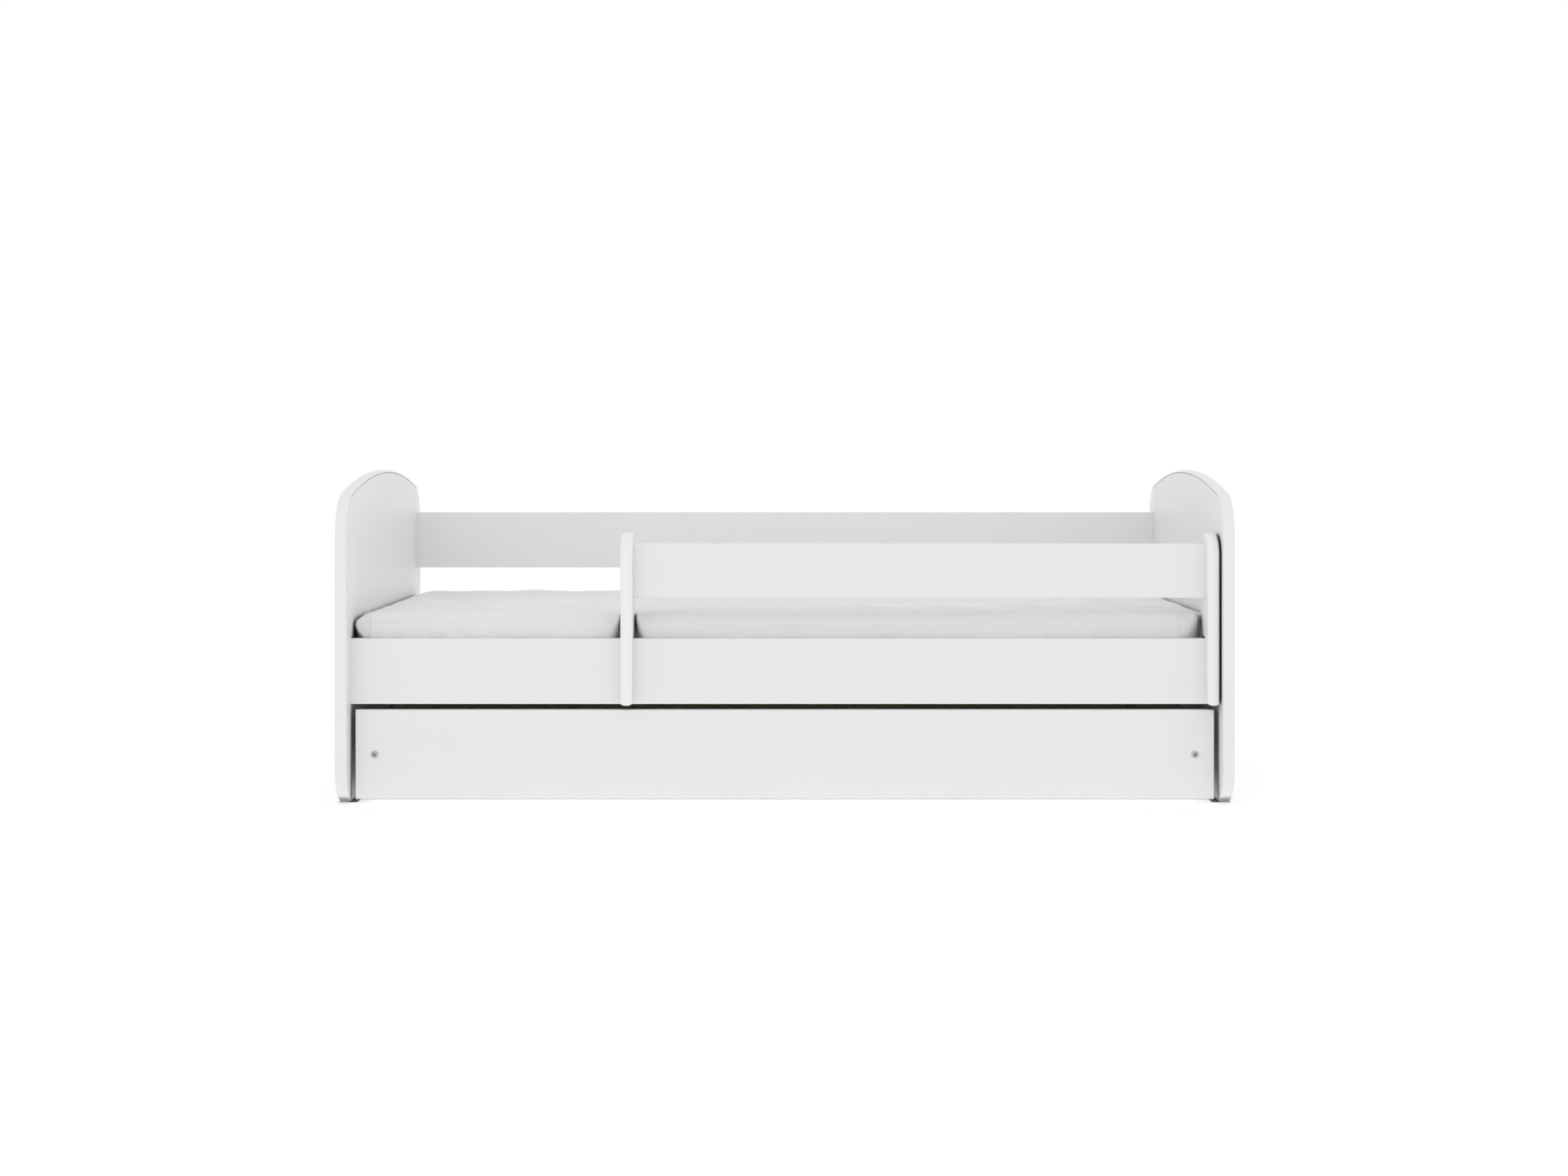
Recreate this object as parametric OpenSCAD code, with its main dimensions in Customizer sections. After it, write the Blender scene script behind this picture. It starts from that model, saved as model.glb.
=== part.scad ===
// Children's bed with arched end panels, a half guard, a slatted base and a rolling drawer.
// Units are millimetres. X runs along the bed, -Y is its front, Z = 0 is the floor.
// The origin is the middle of the bed's outline at floor level.

/* [Mattress] */
// Length of the mattress that the bed takes
mattress_l = 1600; // [1540:10:1660]
// Width of the mattress that the bed takes
mattress_w = 800; // [760:10:840]
// Thickness of the mattress in its sheet
mattress_h = 100; // [80:5:120]
// Radius of the mattress corners seen from above
mattress_r = 30; // [10:5:60]
// Thickness of the fitted sheet
sheet_t = 1.5; // [1:0.5:3]
// Width of the sheet's hem under the mattress
hem_w = 60; // [30:5:100]

/* [End panels] */
// Thickness of an end panel
panel_t = 22; // [18:1:28]
// Height of an end panel at its middle
panel_h = 612; // [600:1:660]
// Distance from the panel's upright edges to the rails
inset = 45; // [40:1:60]
// Radius of the long arch on top
crown_r = 2200; // [1900:10:2500]
// Radius of the shoulders beside the arch
shoulder_r = 90; // [60:5:120]
// Height of the shoulders' centres
shoulder_z = 490; // [460:5:500]
// Radius of the foot corners
foot_r = 70; // [30:5:90]

/* [Rails and boards] */
// Thickness of the rails, the guard board and the drawer front
board_t = 18; // [16:1:22]
// Height of the side rails' lower edge
rail_z = 184; // [180:1:200]
// Width of the side rails
rail_h = 121; // [110:1:140]
// Height of the rear guard board's lower edge
rear_z = 395; // [380:1:420]
// Width of the rear guard board
rear_h = 120; // [90:5:140]

/* [Front guard] */
// Width of the way in beside the guard
entry_w = 500; // [400:10:600]
// Height of the guard board's lower edge
guard_z = 380; // [370:1:400]
// Width of the guard board
guard_h = 100; // [70:1:110]
// Thickness of a guard post
post_t = 22; // [18:1:28]
// Depth of a guard post above the rail
post_d = 90; // [80:1:100]
// Height of the posts' tops
post_top = 500; // [495:1:520]
// Distance from the panels' front edges back to the posts
post_setback = 14; // [5:1:20]
// How far the posts' legs reach below the rail
post_drop = 0; // [0:0.5:6]
// Gap between the right post and the end panel
post_gap = 3.5; // [2:0.5:6]
// Radius of the posts' top corners
post_top_r = 40; // [20:1:44]
// Radius of the posts' lower rear corner
post_low_r = 37; // [15:1:40]

/* [Slatted base] */
// Number of slats
slat_count = 12; // [10:1:12]
// Width of a slat
slat_w = 70; // [50:5:80]
// Thickness of a slat
slat_t = 18; // [15:1:20]
// Width and height of the cleats under the slats
cleat = 30; // [25:1:32]

/* [Drawer] */
// Gap between the drawer front and each end panel
drawer_gap = 8.4; // [6:0.2:12]
// Height of the drawer front's lower edge
drawer_z = 8; // [5:1:12]
// Height of the drawer front
drawer_h = 166; // [150:1:168]
// Length of the drawer's sides
drawer_l = 700; // [500:10:700]
// Height of the drawer's sides
side_h = 140; // [120:2:140]
// Thickness of the drawer's sides and back
side_t = 16; // [15:1:18]
// Distance from the drawer front's ends to its connector heads
head_inset = 36.4; // [36:0.2:40]
// Thickness of the drawer bottom
bottom_t = 3; // [3:0.5:5]
// Diameter of the castor wheels
wheel_d = 40; // [36:1:42]
// Width of the castor wheels
wheel_w = 13; // [10:1:14]

/* [Hidden] */
$fn = 64;
// Small overlap for clean cuts
cut = 1;
// Clear space round parts that move past each other
gap = 3;

// Connector bolt with a flat bevelled head and a hexagon socket
bolt_d = 6;
bolt_hole_d = 7;
bolt_head_d = 13;
bolt_face_d = 10;
bolt_head_h = 2.4;
bolt_l = 60;
socket_af = 4;
socket_depth = 4;
// Barrel nut that takes the bolt, and its distance from the board's end
nut_d = 10;
nut_l = 14;
nut_inset = 32;
// Threaded insert in a post's leg, and the bolt that it takes
insert_d = 9;
insert_l = 14;
post_bolt_l = board_t + insert_l;
// Countersunk wood screw
screw_d = 4;
screw_head_d = 8;
screw_head_h = 2.6;
// Wooden dowel
dowel_d = 8;
dowel_l = 34;
dowel_in = 10;

inner_x = mattress_l / 2 + 2;
outer_x = inner_x + panel_t;
rail_in = mattress_w / 2 + gap;
rail_out = rail_in + board_t;
rail_mid = rail_in + board_t / 2;
edge_y = rail_out + inset;
rail_top = rail_z + rail_h;
rail_bolt_z = [rail_z + 30, rail_top - 30];
rear_bolt_z = [rear_z + 30, rear_z + rear_h - 30];

left_post_x = -inner_x + entry_w;
right_post_x = inner_x - post_gap - post_t;
post_front = -edge_y + post_setback;
post_back = post_front + post_d;
post_bolt_z = [rail_z + 60, rail_top - 15];
guard_screw_z = [guard_z + 25, guard_z + guard_h - 25];
guard_screw_l = 60;

cleat_z = rail_z + 14;
cleat_x = inner_x - 62;
cleat_screw_l = 40;
cleat_screws_each = 6;
slat_z = cleat_z + cleat;
slat_half = rail_in - 8;
slat_first = -cleat_x + slat_w / 2 + 1;
slat_pitch = -2 * slat_first / (slat_count - 1);
slat_screw_l = 35;
slat_screw_y = rail_in - cleat / 2;
strap_y = 250;
strap_w = 20;
strap_t = 1;
staple_w = 10;
staple_t = 0.6;
staple_leg = 7;

mattress_z = slat_z + slat_t;
mattress_x = mattress_l / 2 - 2;
mattress_y = mattress_w / 2 - 2;

front_x = inner_x - drawer_gap;
side_x = front_x - head_inset;
side_in = side_x - side_t / 2;
side_out = side_x + side_t / 2;
head_z = drawer_z + drawer_h / 2;
side_z = head_z - side_h / 2;
drawer_back_y = -rail_in + drawer_l;
back_y = drawer_back_y - side_t;
bottom_z = side_z + 22;
groove = 6;
groove_play = 0.1;
drawer_dowel_z = [head_z - 40, head_z + 40];
back_screw_z = [side_z + 40, side_z + side_h - 40];
back_screw_l = 50;
strip_w = 16;
strip_t = 1.2;
strip_web = 2;
brace_w = 60;
brace_h = 18;
brace_z = bottom_z - groove_play - strip_t - brace_h;
brace_dowel_x = 18;

castor_y = [-rail_in + 70, drawer_back_y - 60];
castor_names = ["front", "rear"];
side_names = ["left", "right"];
wheel_r = wheel_d / 2;
pin_d = 6;
pin_play = 0.05;
wheel_bore_d = pin_d + 2 * pin_play;
hub_d = 14;
hub_side = 0.3;
cheek_t = 3;
well_w = wheel_w + 3;
hood_w = well_w + 2 * cheek_t;
hood_r = wheel_r + 6;
well_r = wheel_r + 2.5;
flange_w = 66;
flange_z = wheel_r + 14;
flange_h = 34;
pin_head_d = 9;
pin_head_h = 1.4;
castor_screw_l = 12;
castor_screw_y = flange_w / 2 - 7;
castor_screw_z = [flange_z + 8, flange_z + flange_h - 8];
hood_z = 8;
rim_d = wheel_d - 8;
web_inset = 3.5;

function two_digits(n) = str(n < 10 ? "0" : "", n);
function slat_name(i) = str("slat_", two_digits(i + 1));
function corner_name(piece, side, end) = str("castor_", piece, "_", castor_names[end], "_", side_names[side]);

// ---------- helpers ----------

// Box between two opposite corners
module block(low, high) {
    translate(low)
        cube(high - low);
}

// Rod or bore along +X from a point
module rod_x(at, d, l) {
    translate(at)
        rotate([0, 90, 0])
            cylinder(d = d, h = l);
}

// Rod or bore along +Y from a point
module rod_y(at, d, l) {
    translate(at)
        rotate([-90, 0, 0])
            cylinder(d = d, h = l);
}

// Flat outline drawn in Y and Z, given a thickness along +X from x
module yz_board(x, t) {
    translate([x, 0, 0])
        rotate([90, 0, 90])
            linear_extrude(t)
                children();
}

// The part on the right as drawn, and its mirror image on the left
module both_ends() {
    children();
    mirror([1, 0, 0])
        children();
}

// Rectangle with all four corners rounded, from its half sizes
module rounded_rect(x, y, r) {
    square([2 * (x - r), 2 * y], center = true);
    square([2 * x, 2 * (y - r)], center = true);
    for (sx = [-1, 1], sy = [-1, 1])
        translate([sx * (x - r), sy * (y - r)])
            circle(r = r);
}

// Connector bolt: its head stands on Z = 0 and its shank runs down
module connector_bolt(l) {
    difference() {
        union() {
            cylinder(d = bolt_head_d, h = bolt_head_h / 2);
            translate([0, 0, bolt_head_h / 2])
                cylinder(d1 = bolt_head_d, d2 = bolt_face_d, h = bolt_head_h / 2);
        }
        translate([0, 0, bolt_head_h - socket_depth])
            cylinder(d = socket_af / cos(30), h = socket_depth + cut, $fn = 6);
    }
    translate([0, 0, -l])
        cylinder(d = bolt_d, h = l);
}

// Countersunk screw: its flat top is at Z = 0 and it runs down
module wood_screw(l) {
    difference() {
        union() {
            translate([0, 0, -screw_head_h])
                cylinder(d1 = screw_d, d2 = screw_head_d, h = screw_head_h);
            translate([0, 0, -l])
                cylinder(d = screw_d, h = l - screw_head_h);
        }
        translate([0, 0, -screw_head_h + 1])
            cylinder(d = screw_d - 1, h = screw_head_h, $fn = 6);
    }
}

// Space that a countersunk screw fills
module screw_hole(l) {
    translate([0, 0, -screw_head_h])
        cylinder(d1 = screw_d, d2 = screw_head_d, h = screw_head_h);
    cylinder(d = screw_head_d, h = cut);
    translate([0, 0, -l])
        cylinder(d = screw_d, h = l);
}

// Barrel nut along +Z from the origin, cross-bored along X for its bolt
module barrel_nut(bolt_at) {
    difference() {
        cylinder(d = nut_d, h = nut_l);
        translate([-nut_d, 0, bolt_at])
            rotate([0, 90, 0])
                cylinder(d = bolt_d, h = 2 * nut_d);
    }
}

// ---------- end panels ----------

// Outline of an end panel in Y and Z
module panel_outline() {
    intersection() {
        translate([0, panel_h - crown_r])
            circle(r = crown_r, $fn = 360);
        union() {
            translate([-edge_y, foot_r])
                square([2 * edge_y, shoulder_z - foot_r]);
            translate([-edge_y + foot_r, 0])
                square([2 * (edge_y - foot_r), foot_r]);
            translate([-edge_y + shoulder_r, shoulder_z])
                square([2 * (edge_y - shoulder_r), panel_h - shoulder_z]);
            for (s = [-1, 1]) {
                translate([s * (edge_y - foot_r), foot_r])
                    circle(r = foot_r);
                translate([s * (edge_y - shoulder_r), shoulder_z])
                    circle(r = shoulder_r);
            }
        }
    }
}

// Places where connector bolts enter the right end panel
module at_panel_bolts() {
    for (z = rail_bolt_z, s = [-1, 1])
        translate([outer_x, s * rail_mid, z])
            rotate([0, 90, 0])
                children();
    for (z = rear_bolt_z)
        translate([outer_x, rail_mid, z])
            rotate([0, 90, 0])
                children();
}

module end_panel() {
    color("white")
        difference() {
            yz_board(inner_x, panel_t)
                panel_outline();
            at_panel_bolts()
                translate([0, 0, -panel_t - cut])
                    cylinder(d = bolt_hole_d, h = panel_t + 2 * cut);
        }
}

module end_panel_right() {
    end_panel();
}

module end_panel_left() {
    mirror([1, 0, 0])
        end_panel();
}

module panel_bolts() {
    color("silver")
        at_panel_bolts()
            connector_bolt(bolt_l);
}

module panel_bolts_right() {
    panel_bolts();
}

module panel_bolts_left() {
    mirror([1, 0, 0])
        panel_bolts();
}

// ---------- rails and boards between the panels ----------

// Places of the barrel nuts in a board whose nut face is at y, nuts running towards -Y
module at_board_nuts(y, heights) {
    both_ends()
        for (z = heights)
            translate([inner_x - nut_inset, y, z])
                rotate([90, 0, 0])
                    children();
}

// Bores in both ends of a board for its bolts and barrel nuts
module end_bores(mid_y, nut_y, heights) {
    both_ends()
        for (z = heights)
            rod_x([outer_x - bolt_l, mid_y, z], bolt_hole_d, bolt_l);
    at_board_nuts(nut_y, heights)
        translate([0, 0, -cut])
            cylinder(d = nut_d, h = nut_l + cut);
}

module rear_rail() {
    color("white")
        difference() {
            block([-inner_x, rail_in, rail_z], [inner_x, rail_out, rail_top]);
            end_bores(rail_mid, rail_out, rail_bolt_z);
            at_cleat_screws()
                screw_hole(cleat_screw_l);
        }
}

module rear_guard_board() {
    color("white")
        difference() {
            block([-inner_x, rail_in, rear_z], [inner_x, rail_out, rear_z + rear_h]);
            end_bores(rail_mid, rail_out, rear_bolt_z);
        }
}

module front_rail() {
    color("white")
        difference() {
            block([-inner_x, -rail_out, rail_z], [inner_x, -rail_in, rail_top]);
            end_bores(-rail_mid, -rail_in, rail_bolt_z);
            mirror([0, 1, 0])
                at_cleat_screws()
                    screw_hole(cleat_screw_l);
            for (x = [left_post_x, right_post_x], z = post_bolt_z)
                rod_y([x + post_t / 2, -rail_out - cut, z], bolt_hole_d, board_t + 2 * cut);
        }
}

module panel_barrel_nuts() {
    color("silver") {
        at_board_nuts(rail_out, concat(rail_bolt_z, rear_bolt_z))
            barrel_nut(board_t / 2);
        at_board_nuts(-rail_in, rail_bolt_z)
            barrel_nut(board_t / 2);
    }
}

// ---------- front guard ----------

// Outline of a post in Y and Z: a leg before the rail and a wider part over it
module post_outline() {
    translate([post_front, rail_z - post_drop])
        square([-rail_out - post_front, rail_h + post_drop]);
    difference() {
        union() {
            translate([post_front, rail_top])
                square([post_d, post_top - post_top_r - rail_top]);
            translate([post_front + post_top_r, post_top - 2 * post_top_r])
                square([post_d - 2 * post_top_r, 2 * post_top_r]);
            for (y = [post_front + post_top_r, post_back - post_top_r])
                translate([y, post_top - post_top_r])
                    circle(r = post_top_r);
        }
        difference() {
            translate([post_back - post_low_r, rail_top - cut])
                square([post_low_r + cut, post_low_r + cut]);
            translate([post_back - post_low_r, rail_top + post_low_r])
                circle(r = post_low_r);
        }
    }
}

module guard_post(x) {
    color("white")
        difference() {
            yz_board(x, post_t)
                post_outline();
            at_post_bolts()
                translate([0, 0, -post_bolt_l])
                    cylinder(d = insert_d, h = insert_l + cut);
            at_guard_screws()
                screw_hole(guard_screw_l);
        }
}

module guard_post_left() {
    guard_post(left_post_x);
}

module guard_post_right() {
    guard_post(right_post_x);
}

// Places of the screws through both posts into the guard board's ends
module at_guard_screws() {
    for (z = guard_screw_z) {
        translate([left_post_x, -rail_mid, z])
            rotate([0, -90, 0])
                children();
        translate([right_post_x + post_t, -rail_mid, z])
            rotate([0, 90, 0])
                children();
    }
}

module guard_board() {
    color("white")
        difference() {
            block([left_post_x + post_t, -rail_out, guard_z], [right_post_x, -rail_in, guard_z + guard_h]);
            at_guard_screws()
                screw_hole(guard_screw_l);
        }
}

module guard_board_screws() {
    color("silver")
        at_guard_screws()
            wood_screw(guard_screw_l);
}

// Places of the bolts through the rail into the posts' legs
module at_post_bolts() {
    for (x = [left_post_x, right_post_x], z = post_bolt_z)
        translate([x + post_t / 2, -rail_in, z])
            rotate([-90, 0, 0])
                children();
}

module post_bolts() {
    color("silver")
        at_post_bolts()
            connector_bolt(post_bolt_l);
}

module post_inserts() {
    color("goldenrod")
        at_post_bolts()
            translate([0, 0, -post_bolt_l])
                difference() {
                    cylinder(d = insert_d, h = insert_l);
                    translate([0, 0, -cut])
                        cylinder(d = bolt_d, h = insert_l + 2 * cut);
                }
}

// ---------- slatted base ----------

// Places of the screws through the rear cleat
module at_cleat_screws() {
    for (i = [0:cleat_screws_each - 1])
        translate([cleat_x * (2 * i / (cleat_screws_each - 1) - 1) * 0.9, rail_in - cleat, cleat_z + cleat / 2])
            rotate([90, 0, 0])
                children();
}

// Places of the screws at the rear ends of the first and the last slat
module at_slat_screws() {
    for (s = [-1, 1])
        translate([s * slat_first, slat_screw_y, mattress_z])
            children();
}

module rear_cleat() {
    color("burlywood")
        difference() {
            block([-cleat_x, rail_in - cleat, cleat_z], [cleat_x, rail_in, cleat_z + cleat]);
            at_cleat_screws()
                screw_hole(cleat_screw_l);
            at_slat_screws()
                screw_hole(slat_screw_l);
        }
}

module front_cleat() {
    mirror([0, 1, 0])
        rear_cleat();
}

module cleat_screws() {
    color("silver")
        for (s = [0, 1])
            mirror([0, s, 0])
                at_cleat_screws()
                    wood_screw(cleat_screw_l);
}

module slat_screws() {
    color("silver")
        for (s = [0, 1])
            mirror([0, s, 0])
                at_slat_screws()
                    wood_screw(slat_screw_l);
}

// Middle of slat number i along the bed
function slat_x(i) = slat_first + i * slat_pitch;

// Places of the staples' legs under slat number i
module at_staple_legs(i) {
    for (s = [-1, 1], y = [-strap_y, strap_y])
        translate([slat_x(i) - staple_t / 2, y + s * (staple_w - staple_t) / 2 - staple_t / 2, slat_z - strap_t])
            children();
}

module slat(i) {
    color("burlywood")
        difference() {
            block([slat_x(i) - slat_w / 2, -slat_half, slat_z], [slat_x(i) + slat_w / 2, slat_half, slat_z + slat_t]);
            at_staple_legs(i)
                cube([staple_t, staple_t, staple_leg]);
            if (i == 0 || i == slat_count - 1)
                for (s = [0, 1])
                    mirror([0, s, 0])
                        at_slat_screws()
                            screw_hole(slat_screw_l);
        }
}

module slat_straps() {
    color("ivory")
        difference() {
            for (y = [-strap_y, strap_y])
                block([slat_first - slat_w / 2, y - strap_w / 2, slat_z - strap_t],
                      [-slat_first + slat_w / 2, y + strap_w / 2, slat_z]);
            for (i = [0:slat_count - 1])
                at_staple_legs(i)
                    translate([0, 0, -cut])
                        cube([staple_t, staple_t, staple_leg]);
        }
}

module strap_staples() {
    color("silver")
        for (i = [0:slat_count - 1]) {
            at_staple_legs(i)
                cube([staple_t, staple_t, staple_leg]);
            for (y = [-strap_y, strap_y])
                translate([slat_x(i) - staple_t / 2, y - staple_w / 2, slat_z - strap_t - staple_t])
                    cube([staple_t, staple_w, staple_t]);
        }
}

// ---------- mattress ----------

// The mattress drawn in by a distance, with clear slots round the guard posts
module mattress_form(shrink) {
    slot_y = post_back + gap + shrink;
    slot_side = gap + shrink;
    difference() {
        translate([0, 0, mattress_z])
            linear_extrude(mattress_h - shrink)
                rounded_rect(mattress_x - shrink, mattress_y - shrink, mattress_r - shrink);
        block([left_post_x - slot_side, -mattress_y - cut, mattress_z - cut],
              [left_post_x + post_t + slot_side, slot_y, mattress_z + mattress_h + cut]);
        block([right_post_x - slot_side, -mattress_y - cut, mattress_z - cut],
              [mattress_x + cut, slot_y, mattress_z + mattress_h + cut]);
    }
}

module mattress_foam() {
    color("gainsboro")
        difference() {
            mattress_form(sheet_t);
            difference() {
                block([-mattress_x, -mattress_y, mattress_z - cut], [mattress_x, mattress_y, mattress_z + sheet_t]);
                block([-mattress_x + hem_w, -mattress_y + hem_w, mattress_z - 2 * cut],
                      [mattress_x - hem_w, mattress_y - hem_w, mattress_z + 2 * sheet_t]);
            }
        }
}

module fitted_sheet() {
    color("whitesmoke")
        difference() {
            mattress_form(0);
            mattress_foam();
        }
}

// ---------- drawer ----------

// The right side of the drawer as drawn for side 1, its mirror image for side 0
module on_side(side) {
    mirror([1 - side, 0, 0])
        children();
}

// Places of the connector bolts in the drawer front, heads to the front
module at_drawer_bolts() {
    both_ends()
        translate([side_x, -rail_out, head_z])
            rotate([90, 0, 0])
                children();
}

// Places of the barrel nuts in the drawer sides
module at_drawer_nuts() {
    both_ends()
        translate([side_in, -rail_in + nut_inset, head_z])
            rotate([0, 90, 0])
                rotate([0, 0, 90])
                    children();
}

// Places of the dowels that hold the drawer front, the sides and the brace
module at_drawer_dowels() {
    both_ends()
        for (z = drawer_dowel_z)
            translate([side_x, -rail_in - dowel_in, z])
                children();
    for (s = [-1, 1], y = [-rail_in - dowel_in, back_y + dowel_in - dowel_l])
        translate([s * brace_dowel_x, y, brace_z + brace_h / 2])
            children();
}

// Places of the screws through the drawer sides into the back
module at_back_screws() {
    both_ends()
        for (z = back_screw_z)
            translate([side_out, back_y + side_t / 2, z])
                rotate([0, 90, 0])
                    children();
}

// Places of the screws that hold one castor
module at_castor_screws(y) {
    for (s = [-1, 1], z = castor_screw_z)
        translate([side_out + cheek_t, y + s * castor_screw_y, z])
            rotate([0, 90, 0])
                children();
}

// Space that the drawer bottom takes with a little play, grooves included
module bottom_space() {
    block([-side_in - groove, -rail_in - groove, bottom_z - groove_play],
          [side_in + groove, back_y + groove, bottom_z + bottom_t + groove_play]);
}

// Bores for all the drawer's dowels
module dowel_bores() {
    at_drawer_dowels()
        rotate([-90, 0, 0])
            cylinder(d = dowel_d, h = dowel_l);
}

module drawer_front() {
    color("white")
        difference() {
            block([-front_x, -rail_out, drawer_z], [front_x, -rail_in, drawer_z + drawer_h]);
            at_drawer_bolts()
                translate([0, 0, -board_t - cut])
                    cylinder(d = bolt_hole_d, h = board_t + 2 * cut);
            dowel_bores();
            bottom_space();
        }
}

module drawer_side() {
    color("white")
        difference() {
            block([side_in, -rail_in, side_z], [side_out, drawer_back_y, side_z + side_h]);
            at_drawer_bolts()
                translate([0, 0, -bolt_l])
                    cylinder(d = bolt_hole_d, h = bolt_l);
            at_drawer_nuts()
                translate([0, 0, -cut])
                    cylinder(d = nut_d, h = nut_l + cut);
            dowel_bores();
            block([side_in - cut, -rail_in - cut, bottom_z - groove_play],
                  [side_in + groove, drawer_back_y + cut, bottom_z + bottom_t + groove_play]);
            at_back_screws()
                screw_hole(back_screw_l);
            for (y = castor_y)
                at_castor_screws(y)
                    screw_hole(castor_screw_l);
        }
}

module drawer_side_right() {
    drawer_side();
}

module drawer_side_left() {
    on_side(0)
        drawer_side();
}

module drawer_back() {
    color("white")
        difference() {
            block([-side_in, back_y, side_z], [side_in, drawer_back_y, side_z + side_h]);
            at_back_screws()
                screw_hole(back_screw_l);
            dowel_bores();
            bottom_space();
        }
}

module drawer_bottom() {
    color("tan")
        block([strip_web / 2, -rail_in - groove + groove_play, bottom_z],
              [side_in + groove - groove_play, back_y + groove - groove_play, bottom_z + bottom_t]);
}

module drawer_bottom_right() {
    drawer_bottom();
}

module drawer_bottom_left() {
    on_side(0)
        drawer_bottom();
}

module drawer_bottom_strip() {
    strip_low = bottom_z - groove_play - strip_t;
    strip_high = bottom_z + bottom_t + groove_play;
    color("white") {
        for (z = [strip_low, strip_high])
            block([-strip_w / 2, -rail_in, z], [strip_w / 2, back_y, z + strip_t]);
        block([-strip_web / 2, -rail_in, strip_low], [strip_web / 2, back_y, strip_high + strip_t]);
    }
}

module drawer_brace() {
    color("burlywood")
        difference() {
            block([-brace_w / 2, -rail_in, brace_z], [brace_w / 2, back_y, brace_z + brace_h]);
            dowel_bores();
        }
}

module drawer_bolts() {
    color("silver")
        at_drawer_bolts()
            connector_bolt(bolt_l);
}

module drawer_barrel_nuts() {
    color("silver")
        at_drawer_nuts()
            barrel_nut(side_t / 2);
}

module drawer_dowels() {
    color("burlywood")
        dowel_bores();
}

module drawer_back_screws() {
    color("silver")
        at_back_screws()
            wood_screw(back_screw_l);
}

// ---------- castors ----------

module castor_screws() {
    color("silver")
        both_ends()
            for (y = castor_y)
                at_castor_screws(y)
                    wood_screw(castor_screw_l);
}

// Bracket with a hood over the wheel and a flange against the drawer side
module castor_bracket(side, end) {
    y = castor_y[end];
    color("dimgray")
        on_side(side)
            difference() {
                union() {
                    yz_board(side_out, hood_w)
                        intersection() {
                            translate([y, wheel_r])
                                circle(r = hood_r);
                            translate([y - hood_r, hood_z])
                                square(2 * hood_r);
                        }
                    block([side_out, y - flange_w / 2, flange_z],
                          [side_out + cheek_t, y + flange_w / 2, flange_z + flange_h]);
                }
                rod_x([side_out + cheek_t, y, wheel_r], 2 * well_r, well_w);
                block([side_out + cheek_t, y - well_r, 0], [side_out + cheek_t + well_w, y + well_r, wheel_r]);
                rod_x([side_out - cut, y, wheel_r], pin_d, hood_w + 2 * cut);
                at_castor_screws(y)
                    screw_hole(castor_screw_l);
            }
}

module castor_pin(side, end) {
    y = castor_y[end];
    color("silver")
        on_side(side) {
            rod_x([side_out, y, wheel_r], pin_d, hood_w);
            rod_x([side_out + hood_w, y, wheel_r], pin_head_d, pin_head_h);
        }
}

// Wheel with a tread, a web and a hub that turns on the pin
module castor_wheel(side, end) {
    x = side_out + cheek_t + well_w / 2;
    y = castor_y[end];
    hub_w = well_w - 2 * hub_side;
    color("darkgray")
        on_side(side)
            difference() {
                union() {
                    difference() {
                        rod_x([x - wheel_w / 2, y, wheel_r], wheel_d, wheel_w);
                        rod_x([x - wheel_w / 2 - cut, y, wheel_r], rim_d, web_inset + cut);
                        rod_x([x + wheel_w / 2 - web_inset, y, wheel_r], rim_d, web_inset + cut);
                    }
                    rod_x([x - hub_w / 2, y, wheel_r], hub_d, hub_w);
                }
                rod_x([x - well_w, y, wheel_r], wheel_bore_d, 2 * well_w);
            }
}

// ---------- the nodes ----------

end_panel_left();
end_panel_right();
front_rail();
rear_rail();
rear_guard_board();
guard_board();
guard_post_left();
guard_post_right();
front_cleat();
rear_cleat();
for (i = [0:slat_count - 1])
    slat(i);
slat_straps();
strap_staples();
slat_screws();
cleat_screws();
panel_bolts_left();
panel_bolts_right();
panel_barrel_nuts();
post_bolts();
post_inserts();
guard_board_screws();
mattress_foam();
fitted_sheet();
drawer_front();
drawer_side_left();
drawer_side_right();
drawer_back();
drawer_bottom_left();
drawer_bottom_right();
drawer_bottom_strip();
drawer_brace();
drawer_bolts();
drawer_barrel_nuts();
drawer_dowels();
drawer_back_screws();
castor_screws();
for (side = [0:1], end = [0:1]) {
    castor_bracket(side, end);
    castor_pin(side, end);
    castor_wheel(side, end);
}
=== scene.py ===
"""Looks of a white children's bed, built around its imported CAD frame. All lengths are in metres."""

import math

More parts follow.
